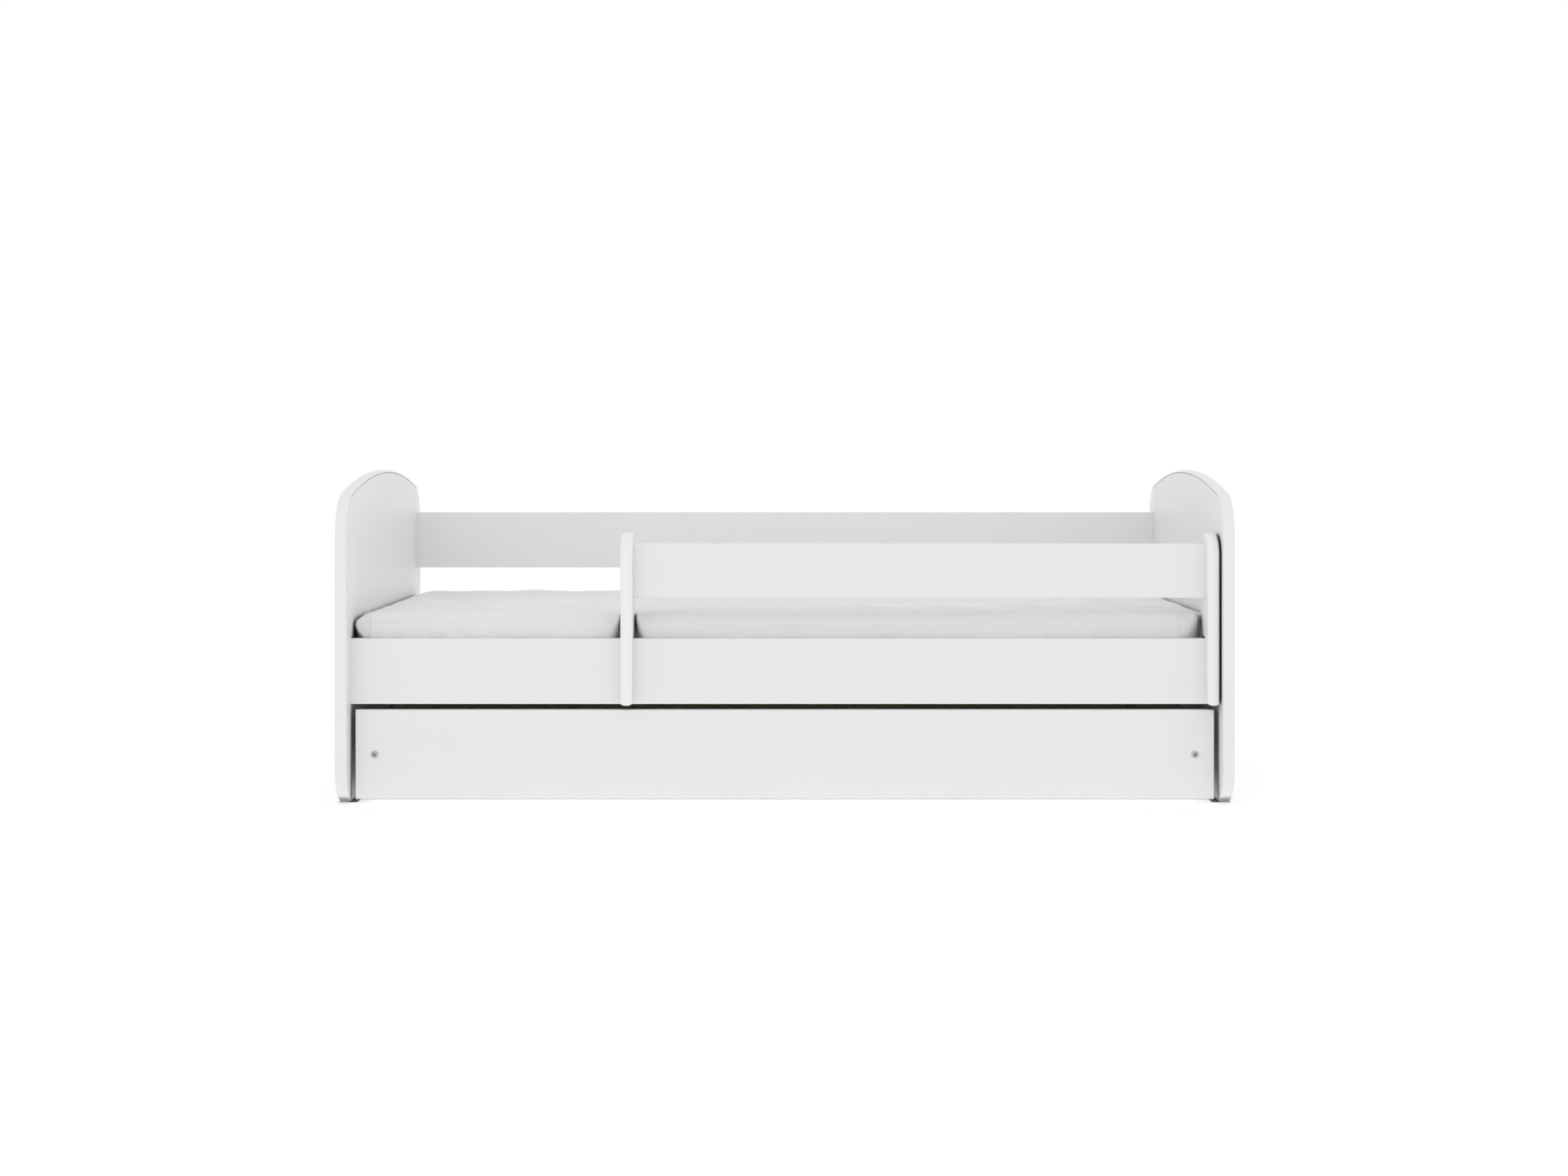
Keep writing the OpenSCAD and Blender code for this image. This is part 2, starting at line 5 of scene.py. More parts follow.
import bmesh
import bpy
import numpy as np
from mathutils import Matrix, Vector


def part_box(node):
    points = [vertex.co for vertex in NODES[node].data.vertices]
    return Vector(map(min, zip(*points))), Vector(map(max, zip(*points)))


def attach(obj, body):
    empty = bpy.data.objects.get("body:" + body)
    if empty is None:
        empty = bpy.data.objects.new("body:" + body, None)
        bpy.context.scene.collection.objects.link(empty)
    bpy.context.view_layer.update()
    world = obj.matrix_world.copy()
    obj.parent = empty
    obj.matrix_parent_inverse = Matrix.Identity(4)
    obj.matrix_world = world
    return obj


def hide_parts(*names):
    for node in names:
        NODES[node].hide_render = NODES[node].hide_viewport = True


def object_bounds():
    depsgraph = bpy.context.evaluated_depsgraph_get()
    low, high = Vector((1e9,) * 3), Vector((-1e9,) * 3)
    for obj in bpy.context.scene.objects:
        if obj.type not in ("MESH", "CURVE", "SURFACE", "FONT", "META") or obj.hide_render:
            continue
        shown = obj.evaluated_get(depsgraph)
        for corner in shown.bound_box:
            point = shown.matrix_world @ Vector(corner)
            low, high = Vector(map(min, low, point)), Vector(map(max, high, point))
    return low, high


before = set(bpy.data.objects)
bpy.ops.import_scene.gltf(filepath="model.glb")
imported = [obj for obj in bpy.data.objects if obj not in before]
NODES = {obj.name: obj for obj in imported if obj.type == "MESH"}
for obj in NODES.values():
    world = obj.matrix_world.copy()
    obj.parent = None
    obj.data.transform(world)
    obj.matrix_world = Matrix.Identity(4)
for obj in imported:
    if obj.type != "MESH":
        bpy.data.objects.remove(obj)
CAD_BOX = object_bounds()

# Edges: how far a crowned edge reaches in, then the groove beside it: its depth, and where it starts,
# is deepest and ends, counted from the crown. The rest are the radii of rounded edges.
EDGE_DEPTH = 0.005
GROOVE_DEPTH = 0.00144
GROOVE_PLACES = (0.00036, 0.00108, 0.00135)
BOARD_ROUND = 0.0018
DRAWER_ROUND = 0.0025
TIMBER_ROUND = 0.002
FOIL_ROUND = 0.0006

# Outline of the end panels
CROWN_R = 2.200
SHOULDER_R = 0.090
SHOULDER_Z = 0.490
FOOT_R = 0.070

# Outline of the guard posts
POST_TOP_R = 0.040
POST_LOW_R = 0.037

# Connector bolts
BOLT_HEAD_H = 0.0024
BOLT_FACE_R = 0.005
BOLT_RIM_R = 0.0065
SHANK_R = 0.003
ROOT_R = 0.0026
THREAD_L = 0.030
PITCH = 0.0013
SOCKET_AF = 0.004
SOCKET_DEPTH = 0.003

# Mouths of the bores that show: diameter and depth
SCREW_MOUTH = (0.0084, 0.003)
NUT_MOUTH = (0.0104, 0.014)

# Studio floor. Its glow is painted light that keeps the bed's shadow off the floor: it glows around the bed
# and a little way in under its front, and not further under it or under the feet, where the floor shows its
# own shade. The glow is stronger close to the bed: spans and fades are counted outwards from the bed's
# outline.
FLOOR_HALF = 30.0
FLOOR_GLOW = 0.55
EDGE_GLOW = 0.85
EDGE_GLOW_SPAN = (-0.07, 0.01)
GLOW_FADE = (-0.06, 0.04)
GLOW_UNDER_FRONT = 0.16
FOOT_SHADOW_IN = 0.064

# Camera and lights
EYE_DISTANCE = 4.564
EYE_HEIGHT = 0.6683
LENS = 57.3
SHIFT = (-0.0005, -0.0932)
LIGHT_AIM = Vector((0, 0, 0.3))
SKY_LOW = 1.03
SKY_FALL = 0.15
SOFTBOXES = [
    ("key_softbox", (-1.2, -3.4, 2.2), (2.6, 1.8), 3.0),
    ("bed_softbox", (0.0, -1.1, 2.5), (1.6, 0.8), 1.8),
]

X, Y, Z = 0, 1, 2


# ---------- node tree helpers ----------

class Paint:
    """A new material with a Principled shader, and short ways to add nodes to it."""

    def __init__(self, name, **shader):
        self.material = bpy.data.materials.new(name)
        self.material.use_nodes = True
        self.tree = self.material.node_tree
        self.shader = self.tree.nodes["Principled BSDF"]
        self.coords = self.tree.nodes.new("ShaderNodeTexCoord").outputs["Object"]
        for socket, value in shader.items():
            self.feed(self.shader, socket.replace("_", " "), value)

    def feed(self, node, socket, value):
        """Link a socket to a node's input, or set the input's own value."""
        target = node.inputs[socket]
        if isinstance(value, bpy.types.NodeSocket):
            self.tree.links.new(value, target)
        else:
            target.default_value = value

    def add(self, kind, output, inputs, **settings):
        """Add a node with its settings and inputs, and return one of its outputs."""
        node = self.tree.nodes.new("ShaderNode" + kind)
        for key, value in settings.items():
            setattr(node, key, value)
        for socket, value in inputs.items():
            self.feed(node, socket, value)
        return node.outputs[output]

    def stretched(self, scale):
        """Object coordinates scaled by three factors."""
        return self.add("Mapping", "Vector", {"Vector": self.coords, "Scale": scale})

    def noise(self, scale, detail=2.0, rough=0.5, where=None, bend=0.0):
        """Noise from 0 to 1."""
        return self.add("TexNoise", "Fac", {
            "Vector": where or self.coords, "Scale": scale, "Detail": detail,
            "Roughness": rough, "Distortion": bend})

    def rows(self, direction, scale, bend, detail=2.0):
        """Soft stripes from 0 to 1 across one direction."""
        inputs = {"Vector": self.coords, "Scale": scale, "Distortion": bend, "Detail": detail}
        return self.add("TexWave", "Fac", inputs, bands_direction=direction)

    def ranged(self, value, low, high):
        """A value from 0 to 1 mapped to a range."""
        return self.add("MapRange", "Result", {"Value": value, "To Min": low, "To Max": high})

    def ramp(self, value, *stops):
        """Colours along a value, as (place, colour) stops."""
        node = self.tree.nodes.new("ShaderNodeValToRGB")
        self.tree.links.new(value, node.inputs["Fac"])
        elements = node.color_ramp.elements
        while len(elements) < len(stops):
            elements.new(0.5)
        for element, (place, colour) in zip(elements, stops):
            element.position = place
            element.color = (*colour, 1)
        return node.outputs["Color"]

    def mix(self, factor, a, b, how="MIX"):
        """Two colours mixed."""
        node = self.tree.nodes.new("ShaderNodeMix")
        node.data_type = "RGBA"
        node.blend_type = how
        for socket, value in ((0, factor), (6, a), (7, b)):
            self.feed(node, socket, value)
        return node.outputs[2]

    def math(self, how, a, b=0.0):
        """Arithmetic on two values."""
        return self.add("Math", 0, {0: a, 1: b}, operation=how)

    def painted_gap_shade(self, colour, reach, least):
        """Painted shade: a colour that falls to a share of itself in gaps and folds where surfaces are closer
        than reach.
        """
        # ambient occlusion darkens the colour where shade falls: painted shade
        open_part = self.add("AmbientOcclusion", "AO", {"Distance": reach}, samples=8)
        painted_shade = self.ramp(open_part, (0.31, (least, least, least)), (0.46, (1.0, 1.0, 1.0)))
        return self.mix(1.0, colour, painted_shade, "MULTIPLY")

    def bump(self, height, distance, strength=1.0, under=None):
        """Feed a height in metres of distance to the shader's normal."""
        inputs = {"Height": height, "Distance": distance, "Strength": strength}
        if under is not None:
            inputs["Normal"] = under
        normal = self.add("Bump", "Normal", inputs)
        self.feed(self.shader, "Normal", normal)
        return normal


# ---------- materials ----------

def lacquer(name="white_lacquer", low=(0.780, 0.780, 0.779), high=(0.794, 0.794, 0.793)):
    """Sprayed satin lacquer: a faint orange peel, slightly uneven gloss and painted shade in the narrow gaps.
    """
    paint = Paint(name, Specular_IOR_Level=0.42)
    cloud = paint.noise(2.3, 3)
    coat = paint.ramp(cloud, (0.3, low), (0.7, high))
    # the base colour is darkened in narrow gaps: painted shade
    paint.feed(paint.shader, "Base Color", paint.painted_gap_shade(coat, 0.028, 0.25))
    paint.feed(paint.shader, "Roughness", paint.ranged(paint.noise(9, 4), 0.38, 0.50))
    soft = paint.bump(paint.noise(210, 2), 0.00004)
    paint.bump(paint.noise(900, 2), 0.00001, under=soft)
    return paint.material


def foil():
    """Matt white foil with a very fine print grain; its white is set darker as painted shade for the drawer's
    inside.
    """
    paint = Paint("white_foil", Specular_IOR_Level=0.35)
    fine = paint.noise(60, 6, 0.6, where=paint.stretched((1, 1, 7)))
    colour = paint.ramp(fine, (0.35, (0.66, 0.66, 0.65)), (0.65, (0.71, 0.71, 0.70)))
    paint.feed(paint.shader, "Base Color", colour)
    paint.feed(paint.shader, "Roughness", paint.ranged(paint.noise(14, 3), 0.52, 0.62))
    paint.bump(paint.noise(1400, 2), 0.00002)
    return paint.material


def timber(name, axis, pale, dark, gloss=0.55):
    """Planed timber with its grain along one axis: growth bands, fibres and pores."""
    paint = Paint(name, Specular_IOR_Level=0.4)
    along = [1.0, 1.0, 1.0]
    along[axis] = 0.045
    bands = paint.noise(28, 3, 0.55, where=paint.stretched(along), bend=0.35)
    rings = paint.math("FRACT", paint.math("MULTIPLY", bands, 9.0))
    between = [(a + b) / 2 for a, b in zip(pale, dark)]
    grain = paint.ramp(rings, (0.0, pale), (0.62, between), (0.93, dark), (1.0, pale))
    along[axis] = 0.02
    fibres = paint.noise(900, 3, 0.6, where=paint.stretched(along))
    fibre_tint = paint.ramp(fibres, (0.3, (0.90, 0.88, 0.85)), (0.7, (1.0, 1.0, 1.0)))
    paint.feed(paint.shader, "Base Color", paint.mix(1.0, grain, fibre_tint, "MULTIPLY"))
    paint.feed(paint.shader, "Roughness", paint.ranged(fibres, gloss - 0.06, gloss + 0.1))
    paint.bump(fibres, 0.00008)
    return paint.material


def metal(name, colour, rough, grain_scale=1500):
    """Plated steel or brass with a fine turned grain and a few duller patches."""
    paint = Paint(name, Metallic=1.0)
    patches = paint.noise(140, 3)
    dull = [c * 0.86 for c in colour]
    paint.feed(paint.shader, "Base Color", paint.ramp(patches, (0.35, dull), (0.6, colour)))
    paint.feed(paint.shader, "Roughness", paint.ranged(paint.noise(600, 3), rough - 0.06, rough + 0.1))
    paint.bump(paint.noise(grain_scale, 2), 0.00001)
    return paint.material


def plastic(name, colour, rough):
    """Moulded plastic with a spark-eroded grain and light handling marks."""
    paint = Paint(name, Specular_IOR_Level=0.5)
    marks = paint.noise(45, 5, 0.65)
    light = [min(1, c * 1.12 + 0.01) for c in colour]
    paint.feed(paint.shader, "Base Color", paint.ramp(marks, (0.4, colour), (0.75, light)))
    paint.feed(paint.shader, "Roughness", paint.ranged(marks, rough, rough + 0.15))
    grain = paint.add("TexVoronoi", "Distance", {"Vector": paint.coords, "Scale": 1800})
    paint.bump(grain, 0.00003)
    return paint.material


def hardboard():
    """Thin hardboard with a printed white face; its white is set darker as painted shade for the drawer's
    inside.
    """
    paint = Paint("hardboard_white", Specular_IOR_Level=0.3)
    flecks = paint.noise(260, 5, 0.7)
    colour = paint.ramp(flecks, (0.3, (0.60, 0.595, 0.58)), (0.6, (0.67, 0.665, 0.65)))
    paint.feed(paint.shader, "Base Color", colour)
    paint.feed(paint.shader, "Roughness", paint.ranged(flecks, 0.55, 0.7))
    paint.bump(flecks, 0.00005)
    return paint.material


def webbing():
    """Woven tape with ribs across it."""
    paint = Paint("webbing_tape", Roughness=0.9, Sheen_Weight=0.2)
    weave = paint.math("MULTIPLY", paint.rows("X", 260, 0.6), paint.rows("Y", 420, 0.4))
    colour = paint.ramp(weave, (0.1, (0.62, 0.60, 0.54)), (0.7, (0.80, 0.78, 0.72)))
    paint.feed(paint.shader, "Base Color", colour)
    paint.bump(weave, 0.0003)
    return paint.material


def foam():
    """Open-cell foam: small irregular pores."""
    paint = Paint("foam_block", Roughness=0.95)
    cells = paint.add("TexVoronoi", "Distance", {"Vector": paint.coords, "Scale": 520})
    colour = paint.ramp(cells, (0.1, (0.72, 0.70, 0.62)), (0.5, (0.86, 0.85, 0.79)))
    paint.feed(paint.shader, "Base Color", colour)
    paint.bump(cells, 0.0006)
    return paint.material


def cotton():
    """White cotton jersey: fine knitted rows, soft fuzz and slightly uneven yarn. The upright sides are
    painted a little darker and cooler than the top, as painted shade, and folds and gaps get painted shade
    too."""
    paint = Paint("cotton_jersey", Roughness=0.88, Specular_IOR_Level=0.25, Sheen_Weight=0.25,
                  Sheen_Roughness=0.5)
    uneven = paint.noise(11, 4, 0.6, where=paint.stretched((0.16, 1.0, 2.0)))
    cloth = paint.ramp(uneven, (0.38, (0.783, 0.783, 0.785)), (0.62, (0.832, 0.832, 0.834)))
    # the upright sides take a darker, cooler colour by their normals: painted shade
    facing = paint.tree.nodes.new("ShaderNodeSeparateXYZ")
    paint.feed(facing, "Vector", paint.tree.nodes.new("ShaderNodeTexCoord").outputs["Normal"])
    side = paint.ranged(paint.math("ABSOLUTE", facing.outputs["Z"]), 1.0, 0.0)
    cloth = paint.mix(side, cloth, paint.mix(1.0, cloth, (0.930, 0.932, 0.952, 1), "MULTIPLY"))
    knit = paint.math("MULTIPLY", paint.rows("X", 380, 1.2, 1), paint.rows("Y", 300, 1.0, 1))
    stitch = paint.ramp(knit, (0.0, (0.84, 0.84, 0.85)), (0.8, (1.0, 1.0, 1.0)))
    cloth = paint.mix(0.10, cloth, paint.mix(1.0, cloth, stitch, "MULTIPLY"))
    # the base colour is darkened in folds and gaps: painted shade
    paint.feed(paint.shader, "Base Color", paint.painted_gap_shade(cloth, 0.012, 0.45))
    slubs = paint.bump(paint.noise(160, 4, 0.6), 0.00025, 0.6)
    paint.bump(knit, 0.00012, 0.8, under=slubs)
    return paint.material


MAT = {
    "lacquer": lacquer(),
    # The panel and bright copies of the white lacquer are lighter to stand in for light on those boards:
    # painted light.
    "lacquer_panel_painted_lit": lacquer("white_lacquer_panel", (0.792, 0.792, 0.791), (0.806, 0.806, 0.805)),
    "lacquer_painted_lit": lacquer("white_lacquer_bright", (0.818, 0.818, 0.817), (0.832, 0.832, 0.831)),
    "foil": foil(),
    "pine_x": timber("pine_along_x", X, (0.71, 0.53, 0.34), (0.50, 0.31, 0.15)),
    "pine_y": timber("pine_along_y", Y, (0.72, 0.55, 0.36), (0.52, 0.33, 0.17)),
    "beech": timber("beech_dowel", Y, (0.62, 0.44, 0.29), (0.50, 0.33, 0.20)),
    "hardboard": hardboard(),
    "strip": plastic("strip_white", (0.78, 0.78, 0.77), 0.35),
    "webbing": webbing(),
    "nickel": metal("nickel_satin", (0.56, 0.50, 0.485), 0.30),
    "socket": metal("socket_painted_shade", (0.15, 0.12, 0.12), 0.45),
    # The dark colour inside the bolts' hexagon sockets is painted shade.
    "zinc": metal("zinc_plated", (0.62, 0.63, 0.65), 0.38),
    "brass": metal("brass_turned", (0.72, 0.52, 0.24), 0.30),
    "bracket": plastic("bracket_black", (0.022, 0.022, 0.023), 0.42),
    "wheel": plastic("wheel_grey", (0.12, 0.12, 0.125), 0.38),
    "foam": foam(),
    "cotton": cotton(),
}


# ---------- mesh helpers ----------

def shade(piece):
    """Smooth shading whose flat faces stay flat."""
    piece.data.shade_smooth()
    piece.data.set_sharp_from_angle(angle=math.radians(50))
    normals = piece.modifiers.new("even_normals", "WEIGHTED_NORMAL")
    normals.keep_sharp = True


def add_piece(name, bm, body, material, stands_for):
    """Turn a bmesh into a piece that rides on a body and stands for CAD nodes."""
    bmesh.ops.recalc_face_normals(bm, faces=bm.faces)
    mesh = bpy.data.meshes.new(name)
    bm.to_mesh(mesh)
    bm.free()
    piece = bpy.data.objects.new(name, mesh)
    bpy.context.scene.collection.objects.link(piece)
    mesh.materials.append(MAT[material])
    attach(piece, body)
    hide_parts(*stands_for)
    return piece


def drill(piece, cuts):
    """Cut round recesses, each (middle of the mouth, axis, sign out of the mouth, diameter, depth)."""
    bm = bmesh.new()
    over = 0.001
    for mouth, axis, sign, diameter, depth in cuts:
        made = bmesh.ops.create_cone(bm, cap_ends=True, segments=40, radius1=diameter / 2,
                                     radius2=diameter / 2, depth=depth + over)
        turn = Vector((0, 0, 1)).rotation_difference(Vector([sign * (i == axis) for i in range(3)]))
        centre = Vector(mouth)
        centre[axis] += sign * (over - depth) / 2
        for v in made["verts"]:
            v.co = turn @ v.co + centre
    mesh = bpy.data.meshes.new("cutter")
    bm.to_mesh(mesh)
    bm.free()
    cutter = bpy.data.objects.new("cutter", mesh)
    bpy.context.scene.collection.objects.link(cutter)
    modifier = piece.modifiers.new("drill", "BOOLEAN")
    modifier.object = cutter
    modifier.solver = "EXACT"
    bpy.context.view_layer.update()
    evaluated = piece.evaluated_get(bpy.context.evaluated_depsgraph_get())
    cut_mesh = bpy.data.meshes.new_from_object(evaluated)
    piece.modifiers.remove(modifier)
    piece.data = cut_mesh
    bpy.data.objects.remove(cutter)


def solids_of(node):
    """(lowest corner, highest corner) of each separate solid in a CAD node."""
    mesh = NODES[node].data
    key = {}
    group = []
    for v in mesh.vertices:
        group.append(key.setdefault(tuple(round(c, 6) for c in v.co), len(key)))
    parent = list(range(len(key)))

    def root(i):
        while parent[i] != i:
            parent[i] = parent[parent[i]]
            i = parent[i]
        return i

    for edge in mesh.edges:
        parent[root(group[edge.vertices[0]])] = root(group[edge.vertices[1]])
    boxes = {}
    for co, i in key.items():
        boxes.setdefault(root(i), []).append(co)
    found = []
    for points in boxes.values():
        array = np.array(points)
        found.append((Vector(array.min(0)), Vector(array.max(0))))
    return found


def ends_in(node, hardware, axis, sign, grow=0.0002):
    """Mouths where pieces of hardware end on one face of a node: (mouth, axis, sign) each."""
    low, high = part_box(node)
    face = (high if sign > 0 else low)[axis]
    mouths = []
    for a, b in solids_of(hardware):
        end = (b if sign > 0 else a)[axis]
        middle = (a + b) / 2
        inside = all(low[i] < middle[i] < high[i] for i in range(3) if i != axis)
        if inside and abs(end - face) < grow:
            middle[axis] = face
            mouths.append((middle, axis, sign))
    return mouths


def rounded_box(low, high, radius, segments, along=None):
    """A bmesh box with rounded edges: all of them, or only those that run along one axis."""
    bm = bmesh.new()
    bmesh.ops.create_cube(bm, size=1)
    middle, size = (low + high) / 2, high - low
    for v in bm.verts:
        v.co = middle + Vector([v.co[i] * size[i] for i in range(3)])
    chosen = [e for e in bm.edges if along is None or abs((e.verts[0].co - e.verts[1].co)[along]) > 1e-6]
    bmesh.ops.bevel(bm, geom=chosen, offset=radius, segments=segments, profile=0.5, affect="EDGES")
    return bm


def board(node, body, material, radius, segments=3, bores=(), along=None):
    """A board that stands for a box-shaped CAD node, with its edges rounded and its mouths drilled."""
    shape = rounded_box(*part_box(node), radius, segments, along)
    piece = add_piece(node + "_board", shape, body, material, [node])
    cuts = []
    for hardware, axis, sign, diameter, depth in bores:
        cuts += [(*mouth, diameter, depth) for mouth in ends_in(node, hardware, axis, sign)]
    if cuts:
        drill(piece, cuts)
    shade(piece)


def arc(centre, radius, start, end, steps):
    """Points along an arc, angles in degrees."""
    return [(centre[0] + radius * math.cos(math.radians(a)), centre[1] + radius * math.sin(math.radians(a)))
            for a in np.linspace(start, end, steps)]


def inset(outline, flat, depth):
    """An outline moved inwards, apart from its flat stretches, which are pairs of point indices."""
    count = len(outline)
    stay = set()
    for first, last in flat:
        stay.update(range(first, last + 1))
    moved = []
    for i, point in enumerate(outline):
        before, here, after = (Vector(outline[j % count]) for j in (i - 1, i, i + 1))
        normal = Vector((0, 0))
        for side, a, b in (((i - 1) % count, before, here), (i, here, after)):
            if not (side in stay and (side + 1) % count in stay):
                step = (b - a).normalized()
                normal += Vector((-step.y, step.x))
        if normal.length < 1e-9:
            moved.append(tuple(point))
            continue
        normal.normalize()
        lean = 1.0
        if i not in stay:
            step = (here - before).normalized()
            lean = max(0.5, abs(Vector((-step.y, step.x)).dot(normal)))
        moved.append(tuple(here + normal * depth / lean))
    return moved


def crowned_board(name, outline, x0, x1, flat, body, material, stands_for):
    """A flat board from its outline in Y and Z, anticlockwise, whose edge is half an ellipse between
    its two faces. Without flat stretches, a hairline groove shows where the ellipse meets each face."""
    half = (x1 - x0) / 2
    right = [(half * math.sin(a), EDGE_DEPTH * (1 - math.cos(a))) for a in np.linspace(0, math.pi / 2, 13)]
    if not flat:
        start, stop, end = (EDGE_DEPTH + place for place in GROOVE_PLACES)
        right += [(half - GROOVE_DEPTH, start), (half - GROOVE_DEPTH, stop), (half, end)]
    bm = bmesh.new()
    rings = []
    for offset, depth in [(-offset, depth) for offset, depth in reversed(right[1:])] + right:
        x = (x0 + x1) / 2 + offset
        rings.append([bm.verts.new((x, y, z)) for y, z in inset(outline, flat, depth)])
    count = len(outline)
    for a, b in zip(rings, rings[1:]):
        for i in range(count):
            bm.faces.new((a[i], a[(i + 1) % count], b[(i + 1) % count], b[i]))
    bm.faces.new(rings[0])
    bm.faces.new(list(reversed(rings[-1])))
    bmesh.ops.remove_doubles(bm, verts=bm.verts, dist=1e-6)
    return add_piece(name, bm, body, material, stands_for)


def relook(node, material, radius=0.0, segments=2):
    """Keep a CAD node, with a new material and its edges eased."""
    obj = NODES[node]
    obj.data.materials.clear()
    obj.data.materials.append(MAT[material])
    weld = obj.modifiers.new("weld", "WELD")
    weld.merge_threshold = 0.00001
    if radius:
        ease = obj.modifiers.new("ease", "BEVEL")
        ease.width = radius
        ease.segments = segments
        ease.limit_method = "ANGLE"
        ease.angle_limit = math.radians(40)
        ease.use_clamp_overlap = True
    normals = obj.modifiers.new("even_normals", "WEIGHTED_NORMAL")
    normals.keep_sharp = True


# ---------- end panels and guard posts ----------

def meeting(c0, r0, c1, r1):
    """Where two circles meet, the point further from the first circle's axis of symmetry."""
    a, b = Vector(c0), Vector(c1)
    gap = (b - a).length
    along = (r0 ** 2 - r1 ** 2 + gap ** 2) / (2 * gap)
    side = math.sqrt(max(0.0, r0 ** 2 - along ** 2))
    line = (b - a) / gap
    foot = a + line * along
    normal = Vector((-line.y, line.x))
    return max((foot + normal * side, foot - normal * side), key=lambda p: p.x)


def panel_outline(high):
    """An end panel in Y and Z: rounded feet, upright sides, shoulders and a long arch."""
    edge, top = high.y, high.z
    crown = (0.0, top - CROWN_R)
    shoulder = (edge - SHOULDER_R, SHOULDER_Z)
    meet = meeting(crown, CROWN_R, shoulder, SHOULDER_R)
    shoulder_end = math.degrees(math.atan2(meet.y - shoulder[1], meet.x - shoulder[0]))
    crown_start = math.degrees(math.atan2(meet.y - crown[1], meet.x - crown[0]))
    foot = arc((edge - FOOT_R, FOOT_R), FOOT_R, -90, 0, 26)
    rise = arc(shoulder, SHOULDER_R, 0, shoulder_end, 26)[:-1] + arc(crown, CROWN_R, crown_start, 90, 60)
    right = foot + rise
    left = [(-y, z) for y, z in reversed(right[:-1])]
    return right + left


def end_panels():
    """Both end panels, with crowned edges all round."""
    for side in ("left", "right"):
        node = "end_panel_" + side
        low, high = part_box(node)
        outline = panel_outline(high)
        shade(crowned_board(node + "_board", outline, low.x, high.x, [], "bed", "lacquer_panel_painted_lit", [node]))


def post_outline(low, high):
    """A guard post in Y and Z, anticlockwise from its leg's foot, and the stretch that meets the rail."""
    rail_low, rail_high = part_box("front_rail")
    lower_rear = arc((high.y - POST_LOW_R, rail_high.z + POST_LOW_R), POST_LOW_R, -90, 0, 18)
    top_rear = arc((high.y - POST_TOP_R, high.z - POST_TOP_R), POST_TOP_R, 0, 90, 18)
    top_front = arc((low.y + POST_TOP_R, high.z - POST_TOP_R), POST_TOP_R, 90, 180, 18)
    outline = [(low.y, low.z), (rail_low.y, low.z), (rail_low.y, rail_high.z), (rail_high.y, rail_high.z)]
    return outline + lower_rear + top_rear + top_front, [(1, 3)]


def guard_posts():
    """Both guard posts, with the screw heads' recesses in their outer faces."""
    for side, sign in (("left", -1), ("right", 1)):
        node = "guard_post_" + side
        low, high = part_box(node)
        outline, seat = post_outline(low, high)
        piece = crowned_board(node + "_board", outline, low.x, high.x, seat, "bed", "lacquer_painted_lit", [node])
        drill(piece, [(*mouth, *SCREW_MOUTH) for mouth in ends_in(node, "guard_board_screws", X, sign)])
        shade(piece)


# ---------- boards, slats and the drawer ----------

def white_boards():
    """Rails, guard boards and the drawer front, with soft edges and bores for the nuts."""
    nut = ("panel_barrel_nuts", Y, 1, *NUT_MOUTH)
    for node in ("front_rail", "rear_rail", "rear_guard_board", "guard_board"):
        # the rear guard board takes the lighter copy of the lacquer: painted light
        paint = "lacquer_painted_lit" if node == "rear_guard_board" else "lacquer"
        board(node, "bed", paint, BOARD_ROUND, 4, [nut], X)
    board("drawer_front", "drawer", "lacquer", DRAWER_ROUND, 4)


def slatted_base():
    """Cleats and slats in planed pine."""
    board("front_cleat", "bed", "pine_x", TIMBER_ROUND, 3, [("cleat_screws", Y, 1, *SCREW_MOUTH)])
    board("rear_cleat", "bed", "pine_x", TIMBER_ROUND, 3, [("cleat_screws", Y, -1, *SCREW_MOUTH)])
    for node in sorted(n for n in NODES if n.startswith("slat_") and n[5:].isdigit()):
        board(node, "bed", "pine_y", TIMBER_ROUND, 3, [("slat_screws", Z, 1, *SCREW_MOUTH)])


def drawer_box():
    """Sides, back, bottom and brace of the drawer."""
    for side, sign in (("left", -1), ("right", 1)):
        bores = [("drawer_barrel_nuts", X, -sign, *NUT_MOUTH),
                 ("drawer_back_screws", X, sign, *SCREW_MOUTH)]
        board("drawer_side_" + side, "drawer", "foil", FOIL_ROUND, 2, bores)
        board("drawer_bottom_" + side, "drawer", "hardboard", FOIL_ROUND / 2, 1)
    board("drawer_back", "drawer", "foil", FOIL_ROUND, 2)
    board("drawer_brace", "drawer", "pine_y", TIMBER_ROUND, 3)


